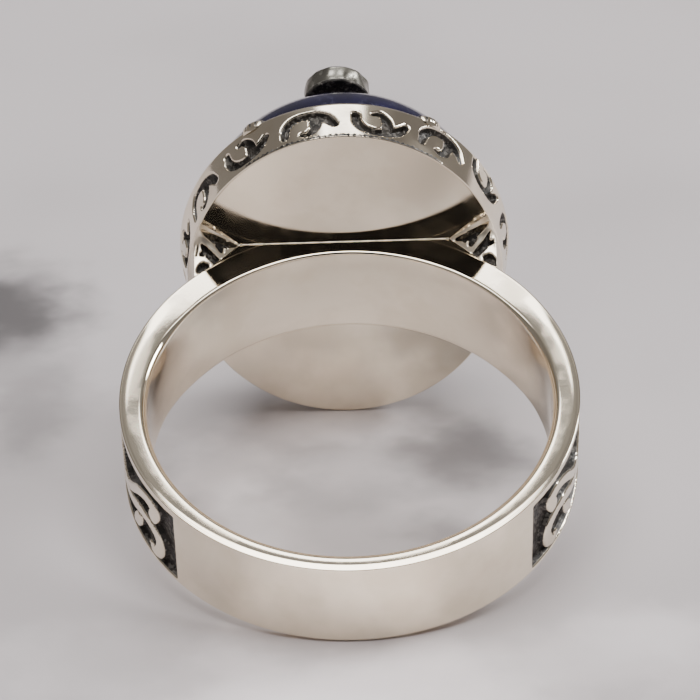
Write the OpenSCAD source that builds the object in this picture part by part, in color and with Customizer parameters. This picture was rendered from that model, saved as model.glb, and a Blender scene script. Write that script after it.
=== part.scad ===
/* [Finger hole and band] */
// Bore that takes the finger, diameter
finger_d = 19; // [17:0.1:21]
// Width of the band along the finger
band_w = 5.1; // [4.6:0.1:5.4]
// Thickness of the band opposite the head
band_t = 1; // [0.9:0.1:1.3]
// How far the outer circle is moved toward the head, which thickens the sides
band_shift = 0.29; // [0.2:0.01:0.4]
// Radius that eases the two rims of the bore
rim_ease = 0.4; // [0.2:0.05:0.5]

/* [Head] */
// Metal between the bore and the back face of the head
plate_gap = 0.77; // [0.6:0.01:0.9]
// Half width of the oval back face, across the finger
back_a = 7.7; // [7.5:0.1:8]
// Half length of the oval back face, along the finger
back_b = 9.6; // [9.3:0.1:9.6]
// Half width of the oval front rim
front_a = 8.15; // [8:0.05:8.4]
// Half length of the oval front rim
front_b = 9.65; // [9.6:0.05:9.9]
// Depth of the head from back face to front rim
head_depth = 2.35; // [2.2:0.05:2.5]
// Thickness of the back plate
plate_t = 0.8; // [0.6:0.1:0.9]
// Thickness of the carved wall at the front rim
wall_t = 0.8; // [0.7:0.05:1]

/* [Stone and boss] */
// Height of the dome above the front rim
dome_h = 4.35; // [4.2:0.05:4.5]
// Fullness of the dome, where 2 is an ellipse and more is squarer
dome_full = 2.6; // [2.2:0.1:2.6]
// Clearance between stone and metal
stone_gap = 0.05; // [0.03:0.01:0.1]
// Radius of the round boss that stands over the stone
boss_r = 1.62; // [1.4:0.02:1.7]
// Thickness of the boss
boss_t = 1; // [0.8:0.05:1.2]
// Distance of the boss from the middle of the oval, along the finger
boss_z = 5.6; // [5.5:0.05:5.8]
// Distance of the boss from the middle of the oval, across the finger
boss_x = -0.15; // [-0.2:0.05:0.2]
// Height of the back of the boss above the front rim
boss_rise = 4.3; // [4.25:0.05:4.5]
// How far the boss leans out from the front of the head, in degrees
boss_lean = 5; // [4:0.5:8]

/* [Carving] */
// Depth of the cut ground and scrolls
carve = 0.35; // [0.25:0.05:0.45]
// Plain border left along the upper edge of a carved panel
border = 0.5; // [0.4:0.05:0.6]
// Plain border left along the lower edge of a carved panel
border_low = 0.25; // [0.2:0.05:0.6]
// Where the panel starts, in degrees below the line through the band's widest points
panel_start = -40; // [-44:1:-36]
// Scrolls around the wall of the head
wall_scrolls = 16; // [14:1:18]

/* [Hidden] */
$fn = 96;
eps = 0.01;
// How far a cutter passes the metal
over = 1;

bore_r = finger_d / 2;
half_w = band_w / 2;
outer_r = bore_r + band_t + band_shift;
plate_y = bore_r + plate_gap;
rim_y = plate_y + head_depth;
panel_end = 47;
oval_sides = 96;
stone_sides = 64;
tip_sides = 12;

// The ring lies on the lower edge of its shank and the lower end of its oval back edge
rest_pitch = atan((back_b - half_w) / (plate_y + bore_r + band_t));
rest_lift = (bore_r + band_t) * sin(rest_pitch) + half_w * cos(rest_pitch);
// Reach of the part along Y when it lies: back of the shank, and the bulge of the dome
stone_a = front_a - wall_t - stone_gap;
stone_b = front_b - wall_t - stone_gap;
conj = dome_full / (dome_full - 1);
reach_back = (bore_r + band_t) * cos(rest_pitch) + half_w * sin(rest_pitch);
bulge = pow(pow(dome_h * cos(rest_pitch), conj) + pow(stone_b * sin(rest_pitch), conj), 1 / conj);
reach_front = rim_y * cos(rest_pitch) + bulge;
rest_slide = (reach_back - reach_front) / 2;

// Shoulder corners, beside the +Z edge of the band: on the band, at the plate, on the oval
shoulder_band = [6.75, 8.55];
shoulder_plate_x = 5.07;
shoulder_oval_z = 4.1;
// Inner ends of a shoulder in the plate and in the band, how deep it is rooted, and its reach to the band's face
foot_x = 3.6;
inner_x = 4.9;
shoulder_root = 0.3;
flush = 0.12;
// Steps from the middle of a shoulder's foot to its end on the oval
foot_steps = 3;

// Carved strokes: along, across, half width. The arch of a wall scroll bends toward the front rim
// here, and toward the back edge in every other scroll
wall_arch = [
    [-1.18, -0.50, 0.20], [-1.10, 0, 0.25], [-0.75, 0.38, 0.24], [-0.20, 0.52, 0.22],
    [0.40, 0.42, 0.29], [0.95, 0.18, 0.28], [1.32, -0.22, 0.18]
];
wall_hook = [
    [0.42, 0.15, 0.32], [0.32, -0.35, 0.24], [0, -0.66, 0.18], [-0.32, -0.62, 0.12]
];
// How far each hand cut scroll stands from its even place, clockwise from the +Z end: along, across
scroll_nudge = [
    [0.15, -0.17], [0.12, 0.12], [0.25, 0.33], [0.45, 0.28], [0.40, -0.10], [0.25, 0], [0.10, -0.15], [0, 0],
    [0, -0.15], [0, 0], [0, -0.15], [-0.05, 0], [-0.10, -0.20], [-0.07, -0.04], [0.03, -0.15], [0.08, -0.07]
];
panel_upper = [
    [5.45, -0.45, 0.24], [4.75, -0.30, 0.25], [4.00, 0.25, 0.25], [3.50, 0.68, 0.26], [2.95, 1.02, 0.27],
    [2.40, 1.22, 0.28], [1.90, 1.20, 0.36], [1.58, 0.92, 0.42], [1.78, 0.42, 0.36]
];
panel_lower = [
    [5.45, -0.95, 0.28], [4.70, -0.92, 0.27], [4.00, -0.72, 0.28], [3.30, -0.42, 0.29], [2.60, -0.32, 0.27],
    [1.95, -0.38, 0.28], [1.45, -0.68, 0.31], [1.28, -1.20, 0.33], [1.45, -1.75, 0.34], [1.90, -1.98, 0.24],
    [2.10, -1.72, 0.14]
];
panel_inner = [
    [3.15, -0.95, 0.12], [3.40, -1.28, 0.32], [3.75, -1.68, 0.35], [4.05, -1.98, 0.16]
];
panel_strokes = [panel_upper, panel_lower, panel_inner];
// One motif is this long, and every other one is mirrored along the panel
motif_l = 5.4;
motifs = 3;
// How far the strokes pass the ground that they stand in
stroke_reach = 0.5;
// Recesses of the shoulder fan, on the slope beside the plate: along the border, toward the oval
fan_upper = [[0.50, 0.30], [0.95, 0.26], [1.62, 1.20], [1.32, 1.62]];
fan_lower = [[1.34, 0.26], [1.84, 0.26], [2.04, 0.52], [1.82, 0.92]];

function ellipse(a, b, n = oval_sides) = [for (i = [0 : n - 1]) [a * cos(360 * i / n), b * sin(360 * i / n)]];
function unit(v) = v / norm(v);

// Angle on the oval at a share of its length, measured from the +Z end
run_steps = 360;
function oval_steps(a, b, n) = [for (i = [0.5 : n]) norm([a * cos(360 * i / n), b * sin(360 * i / n)])];
function sums(v, i = 0, s = 0) = i == len(v) ? [s] : concat([s], sums(v, i + 1, s + v[i]));
oval_run = sums(oval_steps(front_a, front_b, run_steps));
function oval_angle(share) = let (goal = share * oval_run[run_steps])
    360 / run_steps * (len([for (s = oval_run) if (s < goal) s]) - 0.5);

// Outline of a stroke whose width changes from station to station, and its round ends
function side(path, i) = let (
    a = path[max(i - 1, 0)], b = path[min(i + 1, len(path) - 1)], d = unit([b.x - a.x, b.y - a.y])
) [-d.y, d.x];
function stroke_outline(path) = concat(
    [for (i = [0 : len(path) - 1]) [path[i].x, path[i].y] + path[i].z * side(path, i)],
    [for (i = [len(path) - 1 : -1 : 0]) [path[i].x, path[i].y] - path[i].z * side(path, i)]
);

module stroke(path) {
    polygon(stroke_outline(path));
    for (tip = [path[0], path[len(path) - 1]]) translate([tip.x, tip.y]) circle(r = tip.z, $fn = tip_sides);
}

// Turns Z of a flat drawing to face outward from the head: X across the finger, Y along it
module on_head(y) { translate([0, y, 0]) rotate([90, 0, 0]) mirror([0, 0, 1]) children(); }

module lying() { translate([0, rest_slide, rest_lift]) rotate([rest_pitch, 0, 0]) children(); }

module both_sides() { children(); mirror([1, 0, 0]) children(); }
module both_edges() { children(); mirror([0, 0, 1]) children(); }

// Band, shoulders and carved panels

module band_blank() {
    translate([0, band_shift, -half_w]) difference() {
        cylinder(r = outer_r, h = band_w);
        translate([-outer_r, plate_y + plate_t / 2 - band_shift, -over])
            cube([2 * outer_r, outer_r, band_w + 2 * over]);
    }
}

module bore() {
    translate([0, 0, -half_w - over]) cylinder(r = bore_r, h = band_w + 2 * over);
    both_edges() translate([0, 0, half_w - rim_ease]) rotate_extrude() difference() {
        translate([bore_r - over, 0]) square([rim_ease + over, rim_ease + eps]);
        translate([bore_r + rim_ease, 0]) circle(r = rim_ease);
    }
}

function on_oval(z) = [back_a * sqrt(1 - pow(z / back_b, 2)), z];

function shoulder_foot() = concat(
    [[foot_x, half_w], [shoulder_plate_x, half_w]],
    [for (i = [foot_steps : -1 : -foot_steps]) on_oval(shoulder_oval_z * i / foot_steps)],
    [[shoulder_plate_x, -half_w], [foot_x, -half_w]]
);

module shoulder() {
    hull() {
        on_head(plate_y) linear_extrude(shoulder_root) polygon(shoulder_foot());
        translate([inner_x, shoulder_band.y - shoulder_root, -half_w])
            cube([shoulder_band.x + flush - inner_x, shoulder_root, band_w]);
    }
}

module fan_recesses() {
    plate_corner = [shoulder_plate_x, plate_y, half_w];
    oval_corner = [on_oval(shoulder_oval_z).x, plate_y, shoulder_oval_z];
    band_corner = [shoulder_band.x, shoulder_band.y, half_w];
    along = unit(band_corner - plate_corner);
    out = unit(cross(oval_corner - plate_corner, band_corner - plate_corner) * -1);
    up = cross(out, along);
    multmatrix([
        [along.x, up.x, out.x, plate_corner.x],
        [along.y, up.y, out.y, plate_corner.y],
        [along.z, up.z, out.z, plate_corner.z]
    ]) translate([0, 0, -carve]) linear_extrude(carve + over) { polygon(fan_upper); polygon(fan_lower); }
}

module panel_motif(middle, flip) {
    angle = panel_start + middle / outer_r * 180 / PI;
    translate([0, band_shift, 0]) rotate([0, 0, angle]) translate([outer_r - carve - stroke_reach, 0, 0])
        rotate([0, 90, 0]) rotate([0, 0, 90]) linear_extrude(carve + 2 * stroke_reach)
            translate([-(flip ? -1 : 1) * motif_l / 2, 0]) mirror([flip ? 1 : 0, 0])
                for (path = panel_strokes) stroke(path);
}

module panel_ground() {
    h = band_w - border - border_low;
    difference() {
        translate([0, band_shift, border_low - half_w]) difference() {
            intersection() {
                cylinder(r = outer_r + over, h = h);
                linear_extrude(h)
                    polygon([[0, 0], for (a = [panel_start, 0, panel_end]) 2 * outer_r * [cos(a), sin(a)]]);
            }
            translate([0, 0, -over]) cylinder(r = outer_r - carve, h = h + 2 * over);
        }
        for (i = [0 : motifs - 1]) panel_motif((i + 0.5) * motif_l, i % 2 == 1);
    }
}

// Head: oval box with carved wall, and the claws

module head_blank() {
    on_head(plate_y) linear_extrude(height = head_depth, scale = [front_a / back_a, front_b / back_b], slices = 1)
        polygon(ellipse(back_a, back_b));
}

module stone_seat() {
    on_head(plate_y + plate_t) linear_extrude(head_depth) polygon(ellipse(front_a - wall_t, front_b - wall_t));
}

// Scroll number i, clockwise from the +Z end, seen from behind
module wall_scroll(i) {
    t = oval_angle((i + 0.5) / wall_scrolls);
    a = (back_a + front_a) / 2;
    b = (back_b + front_b) / 2;
    facing = atan2(cos(t) / b, sin(t) / a);
    translate([a * sin(t), plate_y + head_depth / 2, b * cos(t)]) rotate([0, 90 - facing, 0])
        translate([0, 0, -carve]) linear_extrude(carve + over)
            translate(scroll_nudge[i % len(scroll_nudge)]) mirror([0, 1 - i % 2]) {
                stroke(wall_arch);
                stroke(wall_hook);
            }
}

// A claw is the overlap of two round discs, and laps over the rim
claw_x = 4.1;
claw_rise = 0.45;
claw_root = 0.3;
claw_disc = 0.95;
claw_lens = 0.45;

module claw() {
    z = (front_b - wall_t / 2) * sqrt(1 - pow(claw_x / (front_a - wall_t / 2), 2));
    slope = atan2(z / pow(front_b, 2), claw_x / pow(front_a, 2));
    translate([claw_x, rim_y - claw_root, z]) rotate([0, -slope, 0]) rotate([-90, 0, 0])
        linear_extrude(claw_root + claw_rise) intersection() {
            translate([claw_lens, 0]) circle(r = claw_disc);
            translate([-claw_lens, 0]) circle(r = claw_disc);
        }
}

module silver_ring() {
    color("silver") lying() difference() {
        union() {
            band_blank();
            both_sides() shoulder();
            head_blank();
            both_sides() both_edges() claw();
        }
        bore();
        stone_seat();
        both_sides() panel_ground();
        both_sides() both_edges() fan_recesses();
        for (i = [0 : wall_scrolls - 1]) wall_scroll(i);
    }
}

// Cabochon: straight girdle inside the wall, then a full dome

dome_rings = 12;
function dome_ring(k) = let (r = cos(90 * k / dome_rings), h = pow(1 - pow(r, dome_full), 1 / dome_full))
    [for (p = ellipse(stone_a * r, stone_b * r, stone_sides)) [p.x, p.y, head_depth + dome_h * h]];
function stone_points() = concat(
    [for (p = ellipse(stone_a, stone_b, stone_sides)) [p.x, p.y, plate_t + stone_gap]],
    [for (k = [0 : dome_rings - 1]) each dome_ring(k)],
    [[0, 0, head_depth + dome_h]]
);
function stone_faces(n = stone_sides, rings = dome_rings + 1) = concat(
    [[for (i = [n - 1 : -1 : 0]) i]],
    [for (k = [0 : rings - 2]) for (i = [0 : n - 1])
        [k * n + i, k * n + (i + 1) % n, (k + 1) * n + (i + 1) % n, (k + 1) * n + i]],
    [for (i = [0 : n - 1]) [(rings - 1) * n + i, (rings - 1) * n + (i + 1) % n, rings * n]]
);

post_r = 0.5;
post_depth = 1.6;

// Puts Z along the boss, up from its back
module at_boss() {
    translate([boss_x, rim_y + boss_rise, boss_z]) rotate([boss_lean - 90, 0, 0]) children();
}

module lapis_stone() {
    color("mediumblue") lying() difference() {
        on_head(plate_y) polyhedron(stone_points(), stone_faces());
        at_boss() translate([0, 0, -post_depth - stone_gap]) cylinder(r = post_r + stone_gap, h = 2 * post_depth);
    }
}

module boss() {
    color("silver") lying() at_boss() {
        cylinder(r = boss_r, h = boss_t);
        translate([0, 0, -post_depth]) cylinder(r = post_r, h = post_depth + eps);
    }
}

silver_ring();
lapis_stone();
boss();
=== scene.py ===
import bmesh
import bpy
import math
import numpy as np
from mathutils import Matrix, Vector


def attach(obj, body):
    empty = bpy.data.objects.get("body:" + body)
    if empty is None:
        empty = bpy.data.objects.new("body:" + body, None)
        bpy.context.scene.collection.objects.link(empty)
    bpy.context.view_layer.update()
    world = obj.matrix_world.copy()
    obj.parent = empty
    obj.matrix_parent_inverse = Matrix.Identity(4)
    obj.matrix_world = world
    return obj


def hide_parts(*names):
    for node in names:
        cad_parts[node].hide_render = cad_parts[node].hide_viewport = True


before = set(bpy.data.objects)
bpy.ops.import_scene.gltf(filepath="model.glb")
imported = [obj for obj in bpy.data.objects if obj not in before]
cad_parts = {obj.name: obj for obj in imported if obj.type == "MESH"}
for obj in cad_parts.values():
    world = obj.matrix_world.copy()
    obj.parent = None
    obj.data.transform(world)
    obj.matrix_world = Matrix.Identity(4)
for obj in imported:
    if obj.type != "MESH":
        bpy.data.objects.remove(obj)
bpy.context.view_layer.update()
print("frame loaded")

# All lengths below are millimetres in the ring's own frame: x across the finger, y toward the
# stone, z along the finger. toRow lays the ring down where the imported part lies.
mm = 0.001
tiny = 1e-6   # closer than this is the same place
ring = {
    "boreR": 9.5, "bandT": 1.0, "bandShift": 0.29, "halfW": 2.55, "rimEase": 0.4,
    "plateY": 10.27, "headDepth": 2.35, "plateT": 0.8, "wallT": 0.8,
    "backA": 7.7, "backB": 9.6, "frontA": 8.15, "frontB": 9.65,
    "domeH": 4.35, "domeFull": 2.6, "stoneGap": 0.05,
}
outerR = ring["boreR"] + ring["bandT"] + ring["bandShift"]
rimY = ring["plateY"] + ring["headDepth"]
stoneA = ring["frontA"] - ring["wallT"] - ring["stoneGap"]
stoneB = ring["frontB"] - ring["wallT"] - ring["stoneGap"]


def restPlace():
    backY = ring["boreR"] + ring["bandT"]
    pitch = math.atan((ring["backB"] - ring["halfW"]) / (ring["plateY"] + backY))
    lift = backY * math.sin(pitch) + ring["halfW"] * math.cos(pitch)
    conj = ring["domeFull"] / (ring["domeFull"] - 1)
    bulge = ((ring["domeH"] * math.cos(pitch)) ** conj + (stoneB * math.sin(pitch)) ** conj) ** (1 / conj)
    back = backY * math.cos(pitch) + ring["halfW"] * math.sin(pitch)
    slide = (back - rimY * math.cos(pitch) - bulge) / 2
    return Matrix.Translation((0, slide * mm, lift * mm)) @ Matrix.Rotation(pitch, 4, "X")


toRow = restPlace()

# Camera, fitted to the outlines of the hole, the band and the head

cameraView = {
    "elevation": 46.727, "yaw": 0.241, "roll": 1.533,   # degrees, against the ring's own axes
    "distance": 187.142, "shiftX": 0.027, "shiftY": -3.967, "lens": 203.96, "sensor": 36,
    "nearClip": 0.01, "farClip": 10,
}


def addCamera(view):
    e = math.radians(view["elevation"])
    level = Matrix(((1, 0, 0), (0, math.sin(e), math.cos(e)), (0, -math.cos(e), math.sin(e))))
    turn = (Matrix.Rotation(math.radians(view["roll"]), 3, "Z") @ level
            @ Matrix.Rotation(math.radians(view["yaw"]), 3, "Z")).transposed()
    place = turn @ Vector((-view["shiftX"], -view["shiftY"], view["distance"])) * mm
    data = bpy.data.cameras.new("camera")
    data.lens = view["lens"]
    data.sensor_width = view["sensor"]
    data.clip_start, data.clip_end = view["nearClip"], view["farClip"]
    camera = bpy.data.objects.new("camera", data)
    bpy.context.scene.collection.objects.link(camera)
    camera.matrix_world = toRow @ Matrix.Translation(place) @ turn.to_4x4()
    bpy.context.scene.camera = camera
    return camera


camera = addCamera(cameraView)
print("camera placed")

# Shader groups


def newTree(name, kind, inputs, outputs):
    tree = bpy.data.node_groups.new(name, kind)
    for label, socket, value in inputs:
        made = tree.interface.new_socket(name=label, in_out="INPUT", socket_type=socket)
        if value is not None:
            made.default_value = value
    for label, socket in outputs:
        tree.interface.new_socket(name=label, in_out="OUTPUT", socket_type=socket)
    return tree


# Adds nodes to a tree and links them, so that a tree reads as a list of steps
class Wiring:
    def __init__(self, tree):
        self.tree = tree

    def add(self, kind, inputs=None, **settings):
        node = self.tree.nodes.new(kind)
        for key, value in settings.items():
            setattr(node, key, value)
        for key, value in (inputs or {}).items():
            if isinstance(value, bpy.types.NodeSocket):
                self.tree.links.new(value, node.inputs[key])
            else:
                node.inputs[key].default_value = value
        return node

    def math(self, operation, a, b=0.0, clamp=False):
        return self.add("ShaderNodeMath", {0: a, 1: b}, operation=operation, use_clamp=clamp).outputs[0]

    def smooth(self, value, low, high, start=0.0, end=1.0):
        node = self.add("ShaderNodeMapRange", {"Value": value, "From Min": low, "From Max": high,
                                               "To Min": start, "To Max": end},
                        interpolation_type="SMOOTHSTEP")
        return node.outputs["Result"]

    def mix(self, factor, a, b):
        node = self.add("ShaderNodeMix", {0: factor, 6: a, 7: b}, data_type="RGBA")
        return node.outputs[2]


marksLook = {"stretch": (60.0, 9.0, 60.0), "turn": (0.3, 0.2, 0.9), "smudgeFrom": 0.38, "smudgeTo": 0.66}
# Oxide: where the grain is rubbed off, where it shows, and its two dark colours with a few light grains
oxideLook = {
    "rubFrom": 0.42, "rubTo": 0.12, "rubShare": 0.08, "showFrom": 0.12, "showTo": 0.3, "blotchScale": 2600.0,
    "dark": (0.014, 0.012, 0.010, 1), "brown": (0.045, 0.038, 0.032, 1), "light": (0.30, 0.28, 0.25, 1),
    "lightFrom": 0.72, "lightTo": 0.80, "lightShare": 0.35,
}


def buildPolishMarks():
    tree = newTree("polishMarks", "ShaderNodeTree",
                   [("Scratch Scale", "NodeSocketFloat", 260.0), ("Smudge Scale", "NodeSocketFloat", 420.0)],
                   [("Scratches", "NodeSocketFloat"), ("Smudges", "NodeSocketFloat")])
    w = Wiring(tree)
    given = w.add("NodeGroupInput")
    out = w.add("NodeGroupOutput")
    place = w.add("ShaderNodeTexCoord").outputs["Object"]
    stretched = w.add("ShaderNodeMapping", {"Vector": place, "Scale": marksLook["stretch"],
                                            "Rotation": marksLook["turn"]}).outputs["Vector"]
    scratches = w.add("ShaderNodeTexNoise", {"Vector": stretched, "Scale": given.outputs["Scratch Scale"],
                                             "Detail": 4.0, "Roughness": 0.7}).outputs["Fac"]
    smudges = w.add("ShaderNodeTexNoise", {"Vector": place, "Scale": given.outputs["Smudge Scale"],
                                           "Detail": 3.0, "Roughness": 0.6}).outputs["Fac"]
    w.tree.links.new(scratches, out.inputs["Scratches"])
    w.tree.links.new(w.smooth(smudges, marksLook["smudgeFrom"], marksLook["smudgeTo"]), out.inputs["Smudges"])
    return tree


def buildOxide():
    tree = newTree("oxideGrain", "ShaderNodeTree",
                   [("Carved", "NodeSocketFloat", 0.0), ("Grain Scale", "NodeSocketFloat", 7000.0)],
                   [("Mask", "NodeSocketFloat"), ("Color", "NodeSocketColor"), ("Height", "NodeSocketFloat")])
    w = Wiring(tree)
    given = w.add("NodeGroupInput")
    out = w.add("NodeGroupOutput")
    place = w.add("ShaderNodeTexCoord").outputs["Object"]
    grain = w.add("ShaderNodeTexVoronoi", {"Vector": place, "Scale": given.outputs["Grain Scale"]})
    blotch = w.add("ShaderNodeTexNoise", {"Vector": place, "Scale": oxideLook["blotchScale"],
                                          "Detail": 3.0}).outputs["Fac"]
    rub = w.smooth(grain.outputs["Distance"], oxideLook["rubFrom"], oxideLook["rubTo"])
    kept = w.math("SUBTRACT", given.outputs["Carved"], w.math("MULTIPLY", rub, oxideLook["rubShare"]))
    w.tree.links.new(w.smooth(kept, oxideLook["showFrom"], oxideLook["showTo"]), out.inputs["Mask"])
    dark = w.mix(w.smooth(blotch, 0.4, 0.7), oxideLook["dark"], oxideLook["brown"])
    # some of the grains are rubbed light
    pick = w.add("ShaderNodeSeparateXYZ", {"Vector": grain.outputs["Color"]}).outputs["X"]
    light = w.smooth(pick, oxideLook["lightFrom"], oxideLook["lightTo"], 0.0, oxideLook["lightShare"])
    w.tree.links.new(w.mix(light, dark, oxideLook["light"]), out.inputs["Color"])
    w.tree.links.new(w.math("MULTIPLY", w.smooth(grain.outputs["Distance"], 0.5, 0.0), given.outputs["Carved"]),
                     out.inputs["Height"])
    return tree


polishMarks = buildPolishMarks()
oxideGrain = buildOxide()


def principled(name):
    material = bpy.data.materials.new(name)
    material.use_nodes = True
    material.node_tree.nodes.clear()
    w = Wiring(material.node_tree)
    shader = w.add("ShaderNodeBsdfPrincipled")
    output = w.add("ShaderNodeOutputMaterial")
    material.node_tree.links.new(shader.outputs[0], output.inputs[0])
    return material, w, shader


silverFinish = {
    "color": (0.95, 0.85, 0.69, 1), "worn": (0.88, 0.775, 0.615, 1),
    "polished": 0.06, "smudged": 0.13, "scratchDepth": 0.05, "grainDepth": 0.9,
    "oxideMetal": 0.28, "oxideRough": 0.34, "satin": 0.24, "scratchHigh": 0.00002, "grainHigh": 0.00004,
    "scratchScale": 260.0, "smudgeScale": 420.0, "grainScale": 7000.0,
}


def makeSilver(name, finish):
    material, w, shader = principled(name)
    links = material.node_tree.links
    marks = w.add("ShaderNodeGroup", {"Scratch Scale": finish["scratchScale"],
                                      "Smudge Scale": finish["smudgeScale"]}, node_tree=polishMarks)
    # oxide in cuts, grooves and dents darkens the silver; on the boss the same channel also carries painted shade on
    # its back
    carved = w.add("ShaderNodeAttribute", attribute_name="carved").outputs["Fac"]
    oxide = w.add("ShaderNodeGroup", {"Carved": carved, "Grain Scale": finish["grainScale"]},
                  node_tree=oxideGrain)
    silver = w.mix(marks.outputs["Smudges"], finish["color"], finish["worn"])
    links.new(w.mix(oxide.outputs["Mask"], silver, oxide.outputs["Color"]), shader.inputs["Base Color"])
    links.new(w.smooth(oxide.outputs["Mask"], 0.0, 1.0, 1.0, finish["oxideMetal"]), shader.inputs["Metallic"])
    polish = w.smooth(marks.outputs["Smudges"], 0.0, 1.0, finish["polished"], finish["smudged"])
    satin = w.add("ShaderNodeAttribute", attribute_name="satin").outputs["Fac"]
    rough = w.math("ADD", polish, w.math("MULTIPLY", satin, finish["satin"]))
    links.new(w.math("ADD", rough, w.math("MULTIPLY", oxide.outputs["Mask"], finish["oxideRough"])),
              shader.inputs["Roughness"])
    scratched = w.add("ShaderNodeBump", {"Strength": finish["scratchDepth"], "Distance": finish["scratchHigh"],
                                         "Height": marks.outputs["Scratches"]})
    grained = w.add("ShaderNodeBump", {"Strength": finish["grainDepth"], "Distance": finish["grainHigh"],
                                       "Height": oxide.outputs["Height"],
                                       "Normal": scratched.outputs["Normal"]})
    links.new(grained.outputs["Normal"], shader.inputs["Normal"])
    return material


polishedSilver = makeSilver("polishedSilver", silverFinish)

lapisFinish = {
    "deep": (0.004, 0.003, 0.015, 1), "bright": (0.009, 0.007, 0.038, 1),
    "pale": (0.05, 0.05, 0.09, 1), "gold": (0.75, 0.55, 0.22, 1),
    "cloudScale": 330.0, "veinScale": 190.0, "fleckScale": 1500.0, "veinHalf": 0.012, "veinShare": 0.5,
    "coat": 0.3, "coatRough": 0.12, "ior": 1.35, "smoothest": 0.07, "roughest": 0.13, "bump": 0.08,
    "bumpHigh": 0.00002,
}


def makeLapis(finish):
    material, w, shader = principled("polishedLapis")
    links = material.node_tree.links
    place = w.add("ShaderNodeTexCoord").outputs["Object"]
    cloud = w.add("ShaderNodeTexNoise", {"Vector": place, "Scale": finish["cloudScale"], "Detail": 6.0,
                                         "Roughness": 0.62, "Distortion": 0.6}).outputs["Fac"]
    vein = w.add("ShaderNodeTexNoise", {"Vector": place, "Scale": finish["veinScale"], "Detail": 8.0,
                                        "Roughness": 0.7, "Distortion": 1.4}).outputs["Fac"]
    fleck = w.add("ShaderNodeTexVoronoi", {"Vector": place, "Scale": finish["fleckScale"], "Randomness": 1.0})
    blue = w.mix(w.smooth(cloud, 0.35, 0.68), finish["deep"], finish["bright"])
    nearVein = w.math("ABSOLUTE", w.math("SUBTRACT", vein, 0.5))
    veined = w.mix(w.smooth(nearVein, finish["veinHalf"], 0.0, 0.0, finish["veinShare"]), blue, finish["pale"])
    clustered = w.math("MULTIPLY", w.smooth(fleck.outputs["Distance"], 0.2, 0.12),
                       w.smooth(cloud, 0.56, 0.66))
    links.new(w.mix(clustered, veined, finish["gold"]), shader.inputs["Base Color"])
    links.new(clustered, shader.inputs["Metallic"])
    links.new(w.smooth(cloud, 0.3, 0.7, finish["smoothest"], finish["roughest"]), shader.inputs["Roughness"])
    shader.inputs["Coat Weight"].default_value = finish["coat"]
    shader.inputs["Coat Roughness"].default_value = finish["coatRough"]
    shader.inputs["IOR"].default_value = finish["ior"]
    bump = w.add("ShaderNodeBump", {"Strength": finish["bump"], "Distance": finish["bumpHigh"], "Height": vein})
    links.new(bump.outputs["Normal"], shader.inputs["Normal"])
    return material


polishedLapis = makeLapis(lapisFinish)
print("materials made")

# Mesh helpers


def meshObject(name, points, faces, material, attributes=None):
    mesh = bpy.data.meshes.new(name)
    mesh.from_pydata([tuple(p) for p in points], [], faces)
    for label, (kind, values) in (attributes or {}).items():
        layer = mesh.attributes.new(label, kind, "POINT")
        field = "vector" if kind == "FLOAT_VECTOR" else "value"
        layer.data.foreach_set(field, np.asarray(values, float).ravel())
    mesh.materials.append(material)
    piece = bpy.data.objects.new(name, mesh)
    bpy.context.scene.collection.objects.link(piece)
    return piece


# Quads of n sections with m points each: around closes the run of sections, wrap closes each one
def tubeFaces(n, m, around=True, wrap=True, first=0):
    faces = []
    for i in range(n if around else n - 1):
        a, b = first + i * m, first + (i + 1) % n * m
        for j in range(m if wrap else m - 1):
            k = (j + 1) % m
            faces.append((a + j, a + k, b + k, b + j))
    return faces


# Closes a run of n open sections at both of its ends
def capFaces(n, m, first=0):
    return [tuple(first + j for j in range(m)), tuple(first + (n - 1) * m + j for j in range(m - 1, -1, -1))]


# Closes n sections that stand in a ring, with a middle point at their first rows and one at their last
def middleFaces(n, m):
    return [(n * m, i * m, (i + 1) % n * m) for i in range(n)] \
        + [(n * m + 1, (i + 1) % n * m + m - 1, i * m + m - 1) for i in range(n)]


def facingOut(piece):
    work = bmesh.new()
    work.from_mesh(piece.data)
    bmesh.ops.recalc_face_normals(work, faces=work.faces)
    work.to_mesh(piece.data)
    work.free()


# Points every step along the smooth curve through a table's stations, with their half widths
def smoothRun(table, step=0.05):
    rows = np.array([table[0]] + list(table) + [table[-1]], float)
    found = []
    for a, b, c, d in zip(rows, rows[1:], rows[2:], rows[3:]):
        count = max(2, int(np.linalg.norm(c[:2] - b[:2]) / step))
        for t in np.linspace(0, 1, count, endpoint=False):
            found.append(0.5 * (2 * b + (c - a) * t + (2 * a - 5 * b + 4 * c - d) * t ** 2
                                + (3 * b - a - 3 * c + d) * t ** 3))
    found.append(rows[-1])
    return np.array(found)


def ease(x, low, high):
    t = np.clip((x - low) / (high - low), 0, 1)
    return t * t * (3 - 2 * t)


# Carving: a Geometry Nodes tree that cuts a drawing of strokes into a surface. Every vertex knows its
# place on the flat drawing ("flat"), the way into the metal ("inward"), how far it may be cut ("cuttable")
# and, on the head, how dark it is stained ("stain").


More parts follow.
